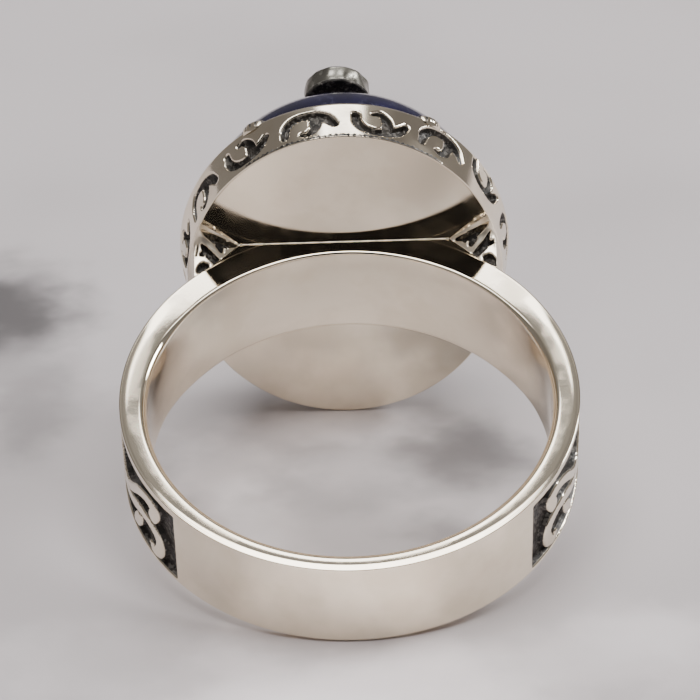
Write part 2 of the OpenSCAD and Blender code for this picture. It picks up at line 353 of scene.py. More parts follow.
def buildCarve():
    tree = newTree("carveDrawing", "GeometryNodeTree",
                   [("Geometry", "NodeSocketGeometry", None), ("Drawing", "NodeSocketObject", None),
                    ("Depth", "NodeSocketFloat", 0.35), ("Wall Inside", "NodeSocketFloat", 0.06),
                    ("Wall Outside", "NodeSocketFloat", 0.03), ("Keep Strokes", "NodeSocketFloat", 0.0),
                    ("Grain Size", "NodeSocketFloat", 6.0), ("Grain Depth", "NodeSocketFloat", 0.03),
                    ("Material", "NodeSocketMaterial", None)],
                   [("Geometry", "NodeSocketGeometry")])
    w = Wiring(tree)
    given = w.add("NodeGroupInput")
    out = w.add("NodeGroupOutput")
    flat = w.add("GeometryNodeInputNamedAttribute", {"Name": "flat"}, data_type="FLOAT_VECTOR").outputs[0]
    inward = w.add("GeometryNodeInputNamedAttribute", {"Name": "inward"}, data_type="FLOAT_VECTOR").outputs[0]
    cuttable = w.add("GeometryNodeInputNamedAttribute", {"Name": "cuttable"}, data_type="FLOAT").outputs[0]
    drawing = w.add("GeometryNodeObjectInfo", {"Object": given.outputs["Drawing"]}).outputs["Geometry"]
    nearest = w.add("GeometryNodeSampleNearest",
                    {"Geometry": drawing, "Sample Position": flat}).outputs["Index"]
    where = w.add("GeometryNodeInputPosition").outputs[0]
    half = w.add("GeometryNodeInputNamedAttribute", {"Name": "halfWidth"}, data_type="FLOAT").outputs[0]
    centre = w.add("GeometryNodeSampleIndex", {"Geometry": drawing, "Value": where, "Index": nearest},
                   data_type="FLOAT_VECTOR").outputs[0]
    reach = w.add("GeometryNodeSampleIndex", {"Geometry": drawing, "Value": half, "Index": nearest},
                  data_type="FLOAT").outputs[0]
    apart = w.add("ShaderNodeVectorMath", {0: flat, 1: centre}, operation="DISTANCE").outputs["Value"]
    outside = w.math("SUBTRACT", apart, reach)   # below zero within a stroke
    inStroke = w.smooth(outside, given.outputs["Wall Outside"],
                        w.math("MULTIPLY", given.outputs["Wall Inside"], -1.0))
    keep = given.outputs["Keep Strokes"]
    share = w.math("ADD", w.math("MULTIPLY", inStroke, w.math("SUBTRACT", 1.0, keep)),
                   w.math("MULTIPLY", w.math("SUBTRACT", 1.0, inStroke), keep))
    cut = w.math("MULTIPLY", share, cuttable)
    noise = w.add("ShaderNodeTexNoise", {"Vector": flat, "Scale": given.outputs["Grain Size"], "Detail": 2.0},
                  noise_dimensions="3D").outputs["Fac"]
    grain = w.math("MULTIPLY", w.math("MULTIPLY", w.math("SUBTRACT", noise, 0.5), given.outputs["Grain Depth"]),
                   cut)
    depth = w.math("ADD", w.math("MULTIPLY", cut, given.outputs["Depth"]), grain)
    offset = w.add("ShaderNodeVectorMath", {0: inward, "Scale": depth}, operation="SCALE").outputs[0]
    moved = w.add("GeometryNodeSetPosition", {"Geometry": given.outputs["Geometry"], "Offset": offset})
    stain = w.add("GeometryNodeInputNamedAttribute", {"Name": "stain"}, data_type="FLOAT").outputs[0]
    stored = w.add("GeometryNodeStoreNamedAttribute", {"Geometry": moved.outputs[0], "Name": "carved",
                                                       "Value": w.math("MAXIMUM", cut, stain)},
                   data_type="FLOAT", domain="POINT")
    real = w.add("GeometryNodeRealizeInstances", {"Geometry": stored.outputs[0]})
    painted = w.add("GeometryNodeSetMaterial", {"Geometry": real.outputs[0],
                                                "Material": given.outputs["Material"]})
    tree.links.new(painted.outputs[0], out.inputs[0])
    return tree


carveTree = buildCarve()


# Runs a Geometry Nodes tree on a piece and keeps its result as the piece's own plain mesh
def runNodes(piece, tree, values):
    modifier = piece.modifiers.new(tree.name, "NODES")
    modifier.node_group = tree
    for socket in tree.interface.items_tree:
        if socket.item_type == "SOCKET" and socket.in_out == "INPUT" and socket.name in values:
            modifier[socket.identifier] = values[socket.name]
    graph = bpy.context.evaluated_depsgraph_get()
    made = bpy.data.meshes.new_from_object(piece.evaluated_get(graph), preserve_all_data_layers=True,
                                           depsgraph=graph)
    piece.modifiers.clear()
    piece.data = made
    return piece


def drawingObject(name, strokes):
    points = np.concatenate([smoothRun(s) for s in strokes])
    flatPoints = np.column_stack([points[:, 0], points[:, 1], np.zeros(len(points))])
    mesh = bpy.data.meshes.new(name)
    mesh.from_pydata([tuple(p) for p in flatPoints], [], [])
    mesh.attributes.new("halfWidth", "FLOAT", "POINT").data.foreach_set("value", points[:, 2].copy())
    drawing = bpy.data.objects.new(name, mesh)
    bpy.context.scene.collection.objects.link(drawing)
    return drawing


# Cuts strokes into a piece, or with keep at 1 sinks the ground round them
def carve(piece, strokes, spec, keep):
    drawing = drawingObject(piece.name + "Drawing", strokes)
    runNodes(piece, carveTree, {"Drawing": drawing, "Depth": spec["carve"], "Keep Strokes": keep,
                                "Wall Inside": spec["wallInside"], "Wall Outside": spec["wallOutside"],
                                "Material": polishedSilver})
    bpy.data.objects.remove(drawing)


# Lays a finished piece down in the row frame, in metres, and gives it its body
def settle(piece, replaced=None):
    facingOut(piece)
    piece.data.transform(toRow @ Matrix.Scale(mm, 4))
    for face in piece.data.polygons:
        face.use_smooth = True
    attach(piece, "root")
    if replaced:
        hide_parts(replaced)
    return piece


# Band with its carved side panels

band = {
    "panelStart": -40.0, "panelEnd": 47.0, "border": 0.5, "borderLow": 0.25, "carve": 0.35,
    "fine": 0.06, "edgeRound": 0.1, "motif": 5.4, "motifs": 3, "cutAt": 0.4, "widen": 0.02,
    # the sides fall by this much at the bore and at the outer edge, and not at all under the plate
    "crownIn": 0.008, "crownOut": 0.06, "flatFrom": 20.0, "flatTo": 40.0, "topEase": 0.45,
    # a stroke's wall slopes this far to either side of its edge, and the cutting fades in at the panel's edge
    "wallInside": 0.03, "wallOutside": 0.05, "cutFrom": -0.05, "cutTo": 0.07,
    # rows round the section, then sections along the band: fine ones reach this far past each panel
    "edgeRows": 5, "sideRows": 17, "easeRows": 10, "boreRows": (1.3, 0.0, -1.3),
    "past": 0.6, "topSections": 40, "bottomSections": 76,
}
panelUpper = [
    (5.45, -0.45, 0.24), (4.75, -0.30, 0.25), (4.00, 0.25, 0.25), (3.50, 0.68, 0.26), (2.95, 1.02, 0.27),
    (2.40, 1.22, 0.28), (1.90, 1.20, 0.36), (1.58, 0.92, 0.42), (1.78, 0.42, 0.36),
]
panelLower = [
    (5.45, -0.95, 0.28), (4.70, -0.92, 0.27), (4.00, -0.72, 0.28), (3.30, -0.42, 0.29), (2.60, -0.32, 0.27),
    (1.95, -0.38, 0.28), (1.45, -0.68, 0.31), (1.28, -1.20, 0.33), (1.45, -1.75, 0.34), (1.90, -1.98, 0.24),
    (2.10, -1.72, 0.14),
]
panelInner = [(3.15, -0.95, 0.12), (3.40, -1.28, 0.32), (3.75, -1.68, 0.35), (4.05, -1.98, 0.16)]


# Outline of the band's section: which face a row lies on, its place across that face, z, and how far it falls
def bandSection():
    r, e, h = band["edgeRound"], ring["rimEase"], ring["halfW"]
    flatH = 2 * h - 2 * r
    flatRows = np.arange(-h + r, h - r + tiny, flatH / round(flatH / band["fine"]))
    quarter = np.radians(np.linspace(0, 90, band["edgeRows"]))[1:]
    half = [("outer", r * (1 - math.cos(a)), h - r + r * math.sin(a), band["crownOut"] * math.sin(a))
            for a in quarter]
    for s in np.linspace(1, 0, band["sideRows"])[1:-1]:
        half.append(("side", s, h, (band["crownOut"] if s > 0.5 else band["crownIn"]) * (2 * s - 1) ** 2))
    half += [("ease", e * (1 - math.sin(a)), h - e + e * math.cos(a), band["crownIn"] * math.cos(a))
             for a in np.radians(np.linspace(0, 90, band["easeRows"]))]
    rows = [("outer", 0.0, z, 0.0) for z in flatRows] + half
    rows += [("bore", 0.0, z, 0.0) for z in band["boreRows"]]
    return rows + [(kind, s, -z, fall) for kind, s, z, fall in half[::-1]]


def bandAngles():
    fine, past = math.degrees(band["fine"] / outerR), band["past"]
    start, end = band["panelStart"], band["panelEnd"]
    right = np.arange(start - past, end + past, fine)
    top = np.linspace(end + past, 180 - end - past, band["topSections"])[1:-1]
    left = 180 - right[::-1]
    bottom = np.linspace(180 - start + past, 360 + start - past, band["bottomSections"])[1:-1]
    return np.concatenate([right, top, left, bottom])


def addBand():
    rows, angles = bandSection(), bandAngles()
    kinds = np.array([row[0] for row in rows])
    second, z, fall = (np.array([row[k] for row in rows]) for k in (1, 2, 3))
    a = np.radians(angles)[:, None]
    outer = np.stack([outerR * np.cos(a), ring["bandShift"] + outerR * np.sin(a)], -1)
    bore = np.stack([ring["boreR"] * np.cos(a), ring["boreR"] * np.sin(a)], -1)
    across = outer - bore
    length = np.linalg.norm(across, axis=-1)
    # under the plate the side is flat and its inner edge is sharper
    raised = np.degrees(np.arcsin(np.sin(a)))
    lower = 1 - ease(raised, band["flatFrom"], band["flatTo"])
    small = band["topEase"] + (1 - band["topEase"]) * lower
    easeEnd = ring["rimEase"] * small / length
    edgeEnd = 1 - band["edgeRound"] / length
    share = np.where(kinds == "outer", 1 - second / length,
                     np.where(kinds == "side", easeEnd + (edgeEnd - easeEnd) * second, second * small / length))
    xy = bore + across * share[..., None]
    xy[..., 1] = np.minimum(xy[..., 1], ring["plateY"] + band["cutAt"])
    n, m = len(angles), len(rows)
    depth = np.where(kinds == "ease", (ring["halfW"] - np.abs(z)) * small, ring["halfW"] - np.abs(z))
    zGrid = np.sign(z) * (ring["halfW"] - depth - fall * lower)
    points = np.concatenate([xy, zGrid[..., None]], -1).reshape(-1, 3)
    # place on the drawing: along from the panel's lower end, the left side mirrored
    turn = (angles + 90) % 360 - 90
    along = np.radians(np.where(turn > 90, 180 - turn, turn) - band["panelStart"]) * outerR
    panelL = math.radians(band["panelEnd"] - band["panelStart"]) * outerR
    flat = np.zeros((n, m, 3))
    flat[..., 0], flat[..., 1] = along[:, None], z
    onOuter = (kinds == "outer") & (second < tiny)
    fromTop, fromLow = ring["halfW"] - band["border"] - z, z + ring["halfW"] - band["borderLow"]

    def within(gap):
        return ease(gap, band["cutFrom"], band["cutTo"])
    cuttable = (within(along) * within(panelL - along))[:, None] * within(fromTop) * within(fromLow) * onOuter
    inward = np.zeros((n, m, 3))
    inward[..., 0], inward[..., 1] = -np.cos(a), -np.sin(a)
    piece = meshObject("ringBand", points, tubeFaces(n, m), polishedSilver, {
        "flat": ("FLOAT_VECTOR", flat), "inward": ("FLOAT_VECTOR", inward),
        "cuttable": ("FLOAT", cuttable)})
    strokes = []
    for i in range(band["motifs"]):
        for table in (panelUpper, panelLower, panelInner):
            start, way = ((i + 1) * band["motif"], -1) if i % 2 else (i * band["motif"], 1)
            strokes.append([(start + way * s, v, w + band["widen"]) for s, v, w in table])
    carve(piece, strokes, band, 1.0)
    return settle(piece, "silver_ring")


ringBand = addBand()
print("band", len(ringBand.data.polygons), "faces")

# Head: back plate, carved wall, rim and seat, as rings round the oval

head = {
    "around": 1080, "fine": 0.05, "carve": 0.35, "scrolls": 16,
    "backRound": 0.09, "frontRound": 0.22, "backRows": 4, "frontRows": 7,
    "wallInside": 0.06, "wallOutside": 0.03,
    # how far in the plate's rows stand, the last that still follows the wall, and how fast the others shrink
    "plateInsets": (5.6, 3.4, 2.0, 1.2, 0.8, 0.5, 0.24, 0.11), "followTo": 1.2, "shrinkOver": 6.0,
    "seatRound": 0.1, "seatMid": 0.03, "seatIn": 3.0,
    # dark nicks along the solder: height, softness, waves, and the cosines between which they begin
    "solderHigh": 0.10, "solderSoft": 0.02, "nickWaves": (9.1, 3.7, 23), "solderFrom": 0.75, "solderTo": 0.88,
}
# The arch of a wall scroll bends toward the front rim here, and toward the back edge in every other scroll
wallArch = [
    (-1.18, -0.50, 0.20), (-1.10, 0.00, 0.25), (-0.75, 0.38, 0.24), (-0.20, 0.52, 0.22),
    (0.40, 0.42, 0.29), (0.95, 0.18, 0.28), (1.32, -0.22, 0.18),
]
wallHook = [(0.42, 0.15, 0.32), (0.32, -0.35, 0.24), (0.00, -0.66, 0.18), (-0.32, -0.62, 0.12)]
# How far each hand cut scroll stands from its even place, clockwise from the top: along, across
scrollNudge = [
    (0.15, -0.17), (0.12, 0.12), (0.25, 0.33), (0.45, 0.28), (0.40, -0.10), (0.25, 0.0), (0.10, -0.15),
    (0, 0), (0.0, -0.15), (0, 0), (0.0, -0.15), (-0.05, 0.0), (-0.10, -0.20), (-0.07, -0.04),
    (0.03, -0.15), (0.08, -0.07),
]


# Length along the oval, from its +z end, against the angle
def ovalRun(a, b, n=3600):
    t = np.linspace(0, 2 * math.pi, n + 1)
    speed = np.hypot(a * np.cos(t), b * np.sin(t))
    return t, np.concatenate([[0], np.cumsum((speed[1:] + speed[:-1]) / 2 * np.diff(t))])


# Rows of the head's section: inset from the wall's outer face, y, and what the row is
def headSection():
    y0, y1, r, f = ring["plateY"], rimY, head["backRound"], head["frontRound"]
    rows = []
    for inset in head["plateInsets"]:
        rows.append((inset, y0, "plate"))
    for a in np.radians(np.linspace(90, 0, head["backRows"]))[:-1]:
        rows.append((r * (1 - math.cos(a)), y0 + r * (1 - math.sin(a)), "edge"))
    count = round((y1 - f - y0 - r) / head["fine"])
    for i in range(count + 1):
        rows.append((0.0, y0 + r + (y1 - f - y0 - r) * i / count, "wall"))
    for a in np.radians(np.linspace(0, 90, head["frontRows"]))[1:]:
        rows.append((f * (1 - math.cos(a)), y1 - f + f * math.sin(a), "rim"))
    inner, turn, mid = ring["wallT"], head["seatRound"], head["seatMid"]
    rows += [(inner - turn, y1, "rim"), (inner - mid, y1 - mid, "rim"), (inner, y1 - turn, "seat")]
    rows += [(inner, y0 + ring["plateT"], "seat"), (head["seatIn"], y0 + ring["plateT"], "seat")]
    return rows


def addHead():
    rows = headSection()
    inset = np.array([i for i, _, _ in rows])
    y = np.array([v for _, v, _ in rows])
    kinds = np.array([k for _, _, k in rows])
    midA = (ring["backA"] + ring["frontA"]) / 2
    midB = (ring["backB"] + ring["frontB"]) / 2
    t, run = ovalRun(midA, midB)
    total = run[-1]
    steps = np.arange(head["around"]) / head["around"] * total
    ang = np.interp(steps, run, t)[:, None]
    v = (y - ring["plateY"]) / ring["headDepth"]
    a = ring["backA"] + (ring["frontA"] - ring["backA"]) * v
    b = ring["backB"] + (ring["frontB"] - ring["backB"]) * v
    normal = np.stack([np.sin(ang) / a, np.cos(ang) / b], -1)
    normal /= np.linalg.norm(normal, axis=-1, keepdims=True)
    # deep rows shrink toward the middle, shallow ones follow the wall
    shallow = np.minimum(inset, head["followTo"])
    base = np.stack([a * np.sin(ang), b * np.cos(ang)], -1) - normal * shallow[:, None]
    shrink = 1 - np.clip(inset - head["followTo"], 0, None) / head["shrinkOver"]
    base = base * shrink[:, None]
    n, m = head["around"], len(rows)
    points = np.zeros((n, m, 3))
    points[..., 0], points[..., 2] = base[..., 0], base[..., 1]
    points[..., 1] = y
    # uneven dark nicks along the solder line, above the plate's edge near the top
    wave, swell, ripple = head["nickWaves"]
    nicks = 0.5 + 0.5 * np.sin(steps * wave) * np.sin(steps * swell + 1) + 0.5 * np.sin(steps * ripple)
    nicks = np.clip(nicks, 0, 1)
    height = y - ring["plateY"] - head["backRound"]
    soft = head["solderSoft"]
    solder = (kinds == "wall") * ease(nicks[:, None] * head["solderHigh"] - height, -soft, soft) \
        * ease(np.cos(ang), head["solderFrom"], head["solderTo"])
    flat = np.zeros((n, m, 3))
    flat[..., 0] = steps[:, None]
    flat[..., 1] = y - (ring["plateY"] + ring["headDepth"] / 2)
    inward = np.zeros((n, m, 3))
    inward[..., 0], inward[..., 2] = -normal[..., 0], -normal[..., 1]
    cuttable = np.broadcast_to((kinds == "wall").astype(float), (n, m))
    faces = tubeFaces(n, m, wrap=False)
    points = points.reshape(-1, 3)
    ends = [(0, ring["plateY"], 0), (0, ring["plateY"] + ring["plateT"], 0)]
    points = np.concatenate([points, ends])
    faces += middleFaces(n, m)

    def ended(values, width):
        return np.concatenate([np.asarray(values, float).reshape(-1, width), np.zeros((2, width))])
    piece = meshObject("ringHead", points, faces, polishedSilver, {
        "flat": ("FLOAT_VECTOR", ended(flat, 3)), "inward": ("FLOAT_VECTOR", ended(inward, 3)),
        "cuttable": ("FLOAT", ended(cuttable, 1)),
        "stain": ("FLOAT", ended(solder, 1))})
    strokes = []
    for i, (alongBy, acrossBy) in enumerate(scrollNudge):
        centre = (i + 0.5) / head["scrolls"] * total + alongBy
        bend = 1 if i % 2 else -1
        for table in (wallArch, wallHook):
            strokes.append([(centre + s, bend * c + acrossBy, w) for s, c, w in table])
    # the run closes on itself, so the first scroll is drawn again past the end
    strokes += [[(s + total, c, w) for s, c, w in table] for table in strokes[:2]]
    carve(piece, strokes, head, 0.0)
    return settle(piece)


ringHead = addHead()
print("head", len(ringHead.data.polygons), "faces")

# Shoulders: fans of ribs between the band and the oval

shoulder = {
    # the border from the plate to the band's outer edge: share of its length, x, y
    "border": [(0.0, 5.07, 10.27), (0.8, 6.75, 8.55), (1.0, 7.30, 8.22)], "z": 2.545,
    "ovalFrom": 4.1, "ovalTo": 3.0, "ovalIn": 0.02, "carve": 0.4, "wide": 3.0, "high": 2.2,
    "wallInside": 0.05, "wallOutside": 0.05, "borderRows": 66, "crossRows": 40, "slopeRows": 48,
    # the flat strip's inner edge: x and y from the plate, and how they change down the border
    "innerX": 3.7, "innerY": 0.13, "innerXBy": 1.5, "innerYBy": 1.65, "edgeStep": 0.015,
    # rows hidden in the plate, a step beyond each end, and a point inside that tells inward from outward
    "sinkX": 0.25, "sinkY": 0.3, "rootX": 4.6, "rootZ": 0.6, "endStep": 0.06, "middle": (5.4, 9.9, 0),
    # where the cutting fades at the border, at the oval and at the lower end
    "lowFade": (0.01, 0.05), "highFade": (0.06, 0.14), "endFade": (0.0, 0.03),
}
# Recesses between the ribs: share of the way along the border, share of the way up to the oval, half width
fanCutsRight = [
    [(0.10, 0.10, 0.11), (0.14, 0.19, 0.22), (0.21, 0.30, 0.38), (0.26, 0.55, 0.32), (0.33, 0.82, 0.25)],
    [(0.37, 0.20, 0.14), (0.33, 0.32, 0.26)],
    [(0.55, 0.00, 0.17), (0.585, 0.20, 0.23), (0.625, 0.35, 0.27), (0.665, 0.50, 0.30), (0.665, 0.68, 0.20),
     (0.685, 0.80, 0.12)],
    [(0.75, 0.55, 0.20), (0.86, 0.62, 0.10), (0.95, 0.70, 0.10)],
    [(0.78, 0.12, 0.20), (0.87, 0.16, 0.32), (0.92, 0.15, 0.30)],
]
fanCutsLeft = [
    [(0.06, 0.05, 0.10), (0.10, 0.14, 0.21)], [(0.17, 0.25, 0.38), (0.205, 0.48, 0.34), (0.26, 0.76, 0.30)],
    [(0.32, 0.16, 0.10), (0.27, 0.27, 0.24)],
    [(0.515, -0.02, 0.20), (0.535, 0.12, 0.22), (0.57, 0.30, 0.26), (0.62, 0.47, 0.30), (0.645, 0.60, 0.18)],
    [(0.71, 0.45, 0.16), (0.80, 0.49, 0.08)], [(0.79, 0.76, 0.06), (0.87, 0.68, 0.11), (0.92, 0.56, 0.08)],
    [(0.74, 0.09, 0.16), (0.82, 0.14, 0.28), (0.86, 0.14, 0.27)],
]


def addShoulder(side):
    shares, xs, ys = zip(*shoulder["border"])
    pz, to = shoulder["z"], shoulder["ovalTo"]
    # the upper border, then across the band to the middle
    top = [(float(np.interp(f, shares, xs)), float(np.interp(f, shares, ys)), pz, f,
            shoulder["ovalFrom"] + (to - shoulder["ovalFrom"]) * f)
           for f in np.linspace(0, 1, shoulder["borderRows"])]
    cross = [(xs[-1], ys[-1], pz * g, 1.0, to * g) for g in np.linspace(1, 0, shoulder["crossRows"])[1:]]
    half = top + cross
    stations = half + [(x, y, -z, -f - 1, -o) for x, y, z, f, o in half[-2::-1]]
    vs = np.linspace(0, 1, shoulder["slopeRows"])
    lead = 3   # rows before the slope
    points, flat, cuttable = [], [], []
    for x, y, z, f, oz in stations:
        share = f if f >= 0 else -f - 1
        low = np.array([x, y, z])
        ovalX = ring["backA"] * math.sqrt(1 - (oz / ring["backB"]) ** 2)
        high = np.array([ovalX - shoulder["ovalIn"], ring["plateY"], oz])
        run = np.linalg.norm(high - low)
        innerLow = np.array([shoulder["innerX"] + shoulder["innerXBy"] * share,
                             ring["plateY"] + shoulder["innerY"] - shoulder["innerYBy"] * share, z])
        # rows close to both edges of the strip inside the border keep its shading flat
        step = (innerLow - low) * shoulder["edgeStep"] / np.linalg.norm(innerLow - low)
        row = [innerLow, innerLow - step, low + step] + [low + (high - low) * v for v in vs]
        row += [high + np.array([-shoulder["sinkX"], shoulder["sinkY"], 0]),
                np.array([shoulder["rootX"], ring["plateY"] + shoulder["sinkY"], oz * shoulder["rootZ"]])]
        points += row
        onTop = abs(abs(z) - pz) < tiny
        for k in range(len(row)):
            onSlope = lead <= k < lead + len(vs)
            v = vs[k - lead] if onSlope else float(k > lead)
            body = ease(v * run, *shoulder["lowFade"]) * ease((1 - v) * run, *shoulder["highFade"]) \
                * ease(1 - share, *shoulder["endFade"])
            cuttable.append(float(body) if onTop and onSlope else 0.0)
            flat.append((share * shoulder["wide"], v * shoulder["high"], 0))
    m = len(row)
    # one more station inside the plate at each end keeps the flat strip's shading clear of the end faces
    grid = np.array(points).reshape(-1, m, 3)
    beyond = (0, shoulder["endStep"], 0)
    grid = np.concatenate([grid[:1] + beyond, grid, grid[-1:] + beyond])
    n = len(grid)
    flat = flat[:m] + flat + flat[-m:]
    cuttable = [0.0] * m + cuttable + [0.0] * m
    satin = np.tile((np.arange(m) > lead).astype(float), n)
    along = np.gradient(grid, axis=0)
    up = np.gradient(grid, axis=1)
    inward = np.cross(along, up)
    inward /= np.linalg.norm(inward, axis=-1, keepdims=True) + 1e-9
    flip = np.sign(((np.array(shoulder["middle"]) - grid) * inward).sum(-1, keepdims=True))
    inward *= np.where(flip == 0, 1, flip)
    faces = tubeFaces(n, m, around=False) + capFaces(n, m)
    pts = grid.reshape(-1, 3) * (side, 1, 1)
    piece = meshObject(f"ringShoulder{'R' if side > 0 else 'L'}", pts, faces, polishedSilver, {
        "flat": ("FLOAT_VECTOR", np.array(flat)),
        "inward": ("FLOAT_VECTOR", inward.reshape(-1, 3) * (side, 1, 1)),
        "cuttable": ("FLOAT", cuttable), "satin": ("FLOAT", satin)})
    cuts = fanCutsRight if side > 0 else fanCutsLeft
    strokes = [[(f * shoulder["wide"], v * shoulder["high"], w) for f, v, w in cut] for cut in cuts]
    carve(piece, strokes, shoulder, 0.0)
    return settle(piece)


addShoulder(1)
addShoulder(-1)
print("shoulders made")

# Seam: the thin line of solder where the band meets the plate, with a drop at each end

seam = {
    "half": 5.05, "r": 0.03, "drop": 0.05, "dropWide": 0.08, "steps": 400, "round": 10,
    "wave": 0.25, "waveRate": 7, "ripple": 0.2, "rippleRate": 23,   # uneven thickness along the line
}


def addSeam():
    points = []
    turns = np.linspace(0, 2 * math.pi, seam["round"], endpoint=False)
    for x in np.linspace(-seam["half"], seam["half"], seam["steps"]):
        drop = math.exp(-((abs(x) - seam["half"]) / seam["dropWide"]) ** 2)
        uneven = 1 + seam["wave"] * math.sin(seam["waveRate"] * x) \
            + seam["ripple"] * math.sin(seam["rippleRate"] * x)
        r = seam["r"] * uneven + seam["drop"] * drop
        points += [(x, ring["plateY"] + r * math.cos(a), ring["halfW"] + r * math.sin(a)) for a in turns]
    m = seam["round"]
    faces = tubeFaces(seam["steps"], m, around=False) + capFaces(seam["steps"], m)
    piece = meshObject("solderSeam", points, faces, polishedSilver)
    return settle(piece)


addSeam()

# Claws: small leaf shapes that lap over the rim

claw = {
    "x": 4.1, "disc": 0.95, "lens": 0.45, "root": 0.3, "rise": 0.3, "along": 48, "across": 24,
    "narrow": 0.98, "least": 0.004,   # width against two crossed circles, and what is left at the tips
    "edgeRise": 0.45, "crownRise": 0.55, "tipFall": 0.5,
    "grooveAt": 0.5, "grooveWide": 0.2, "grooveDeep": 0.08, "vein": 0.8, "veinRate": 9,
}


def addClaws():
    points, faces, carved = [], [], []
    # the claws stand on the middle of the wall's rim
    midA, midB = ring["frontA"] - ring["wallT"] / 2, ring["frontB"] - ring["wallT"] / 2
    z = midB * math.sqrt(1 - (claw["x"] / midA) ** 2)
    slope = math.atan2(z / ring["frontB"] ** 2, claw["x"] / ring["frontA"] ** 2)
    reach = math.sqrt(claw["disc"] ** 2 - claw["lens"] ** 2)
    for sx in (1, -1):
        for sz in (1, -1):
            first = len(points)
            radial = Vector((math.cos(slope), 0, math.sin(slope)))
            length = Vector((-math.sin(slope), 0, math.cos(slope)))
            centre = Vector((claw["x"], rimY, z))
            for i in range(claw["along"] + 1):
                s = -1 + 2 * i / claw["along"]
                lens = math.sqrt(max(claw["disc"] ** 2 - (s * reach) ** 2, 0)) - claw["lens"]
                wide = lens * claw["narrow"] + claw["least"]
                section = []
                for j in range(claw["across"] + 1):
                    q = -1 + 2 * j / claw["across"]
                    crown = math.sqrt(max(0, 1 - q * q))
                    # two grooves along the leaf, and veins that run into them
                    vein = claw["vein"] * math.sin(claw["veinRate"] * (s + 0.5 * abs(q))) ** 8
                    groove = max(math.exp(-((abs(q) - claw["grooveAt"]) / claw["grooveWide"]) ** 2), vein)
                    dome = claw["edgeRise"] + claw["crownRise"] * crown
                    high = claw["rise"] * dome * (1 - claw["tipFall"] * s * s) - claw["grooveDeep"] * groove
                    section.append((q * wide, high, groove))
                section += [(wide, -claw["root"], 0), (-wide, -claw["root"], 0)]
                for q, high, dark in section:
                    p = centre + radial * q + length * (s * reach) + Vector((0, high, 0))
                    points.append((p.x * sx, p.y, p.z * sz))
                    carved.append(dark)
            n, m = claw["along"] + 1, len(section)
            faces += tubeFaces(n, m, around=False, first=first) + capFaces(n, m, first)
    piece = meshObject("rimClaws", points, faces, polishedSilver, {"carved": ("FLOAT", carved)})
    return settle(piece)


addClaws()
print("claws made")

# Stone: straight girdle in the wall, then the full dome

# The girdle: share of the full oval and height above the stone's floor
stoneShape = {"around": 256, "up": 72, "girdle": [(0.94, 0.0), (0.985, 0.04), (1.0, 0.15)]}


def addStone():
    n, up = stoneShape["around"], stoneShape["up"]
    t = np.linspace(0, 2 * math.pi, n, endpoint=False)
    y0, y1 = ring["plateY"] + ring["plateT"] + ring["stoneGap"], rimY
    rows = [(share, y0 + rise) for share, rise in stoneShape["girdle"]] + [(1.0, (y0 + y1) / 2)]
    for k in range(up):
        r = math.cos(math.pi / 2 * k / up)
        rows.append((r, y1 + ring["domeH"] * (1 - r ** ring["domeFull"]) ** (1 / ring["domeFull"])))
    points = [(stoneA * r * math.cos(v), y, stoneB * r * math.sin(v)) for v in t for r, y in rows]
    m = len(rows)
    faces = tubeFaces(n, m, wrap=False)
    points += [(0, y0, 0), (0, y1 + ring["domeH"], 0)]
    faces += middleFaces(n, m)
    piece = meshObject("domeStone", points, faces, polishedLapis)
    return settle(piece, "lapis_stone")


addStone()

# Boss: hammered disc on a hidden post

# The disc's back face, its post and its lower rounding are painted dark: painted shade under the disc, where it faces
# the stone. The dents hold a little dark oxide.
bossShape = {"x": -0.15, "z": 5.6, "rise": 4.3, "lean": 5.0, "r": 1.62, "t": 1.0, "round": 0.16,
             "postR": 0.5, "postDeep": 1.5, "dent": 0.042, "around": 160, "backFrom": 0.6, "backRows": 10,
             "sideRows": 12, "roundFrom": 15, "roundRows": 6, "faceRings": (1.1, 0.75, 0.4),
             "backPaintedShade": 0.95, "dentDark": 0.25}
bossFinish = dict(silverFinish, color=(0.34, 0.33, 0.29, 1), worn=(0.18, 0.17, 0.145, 1), polished=0.24,
                  smudged=0.4)
hammeredSilver = makeSilver("hammeredSilver", bossFinish)


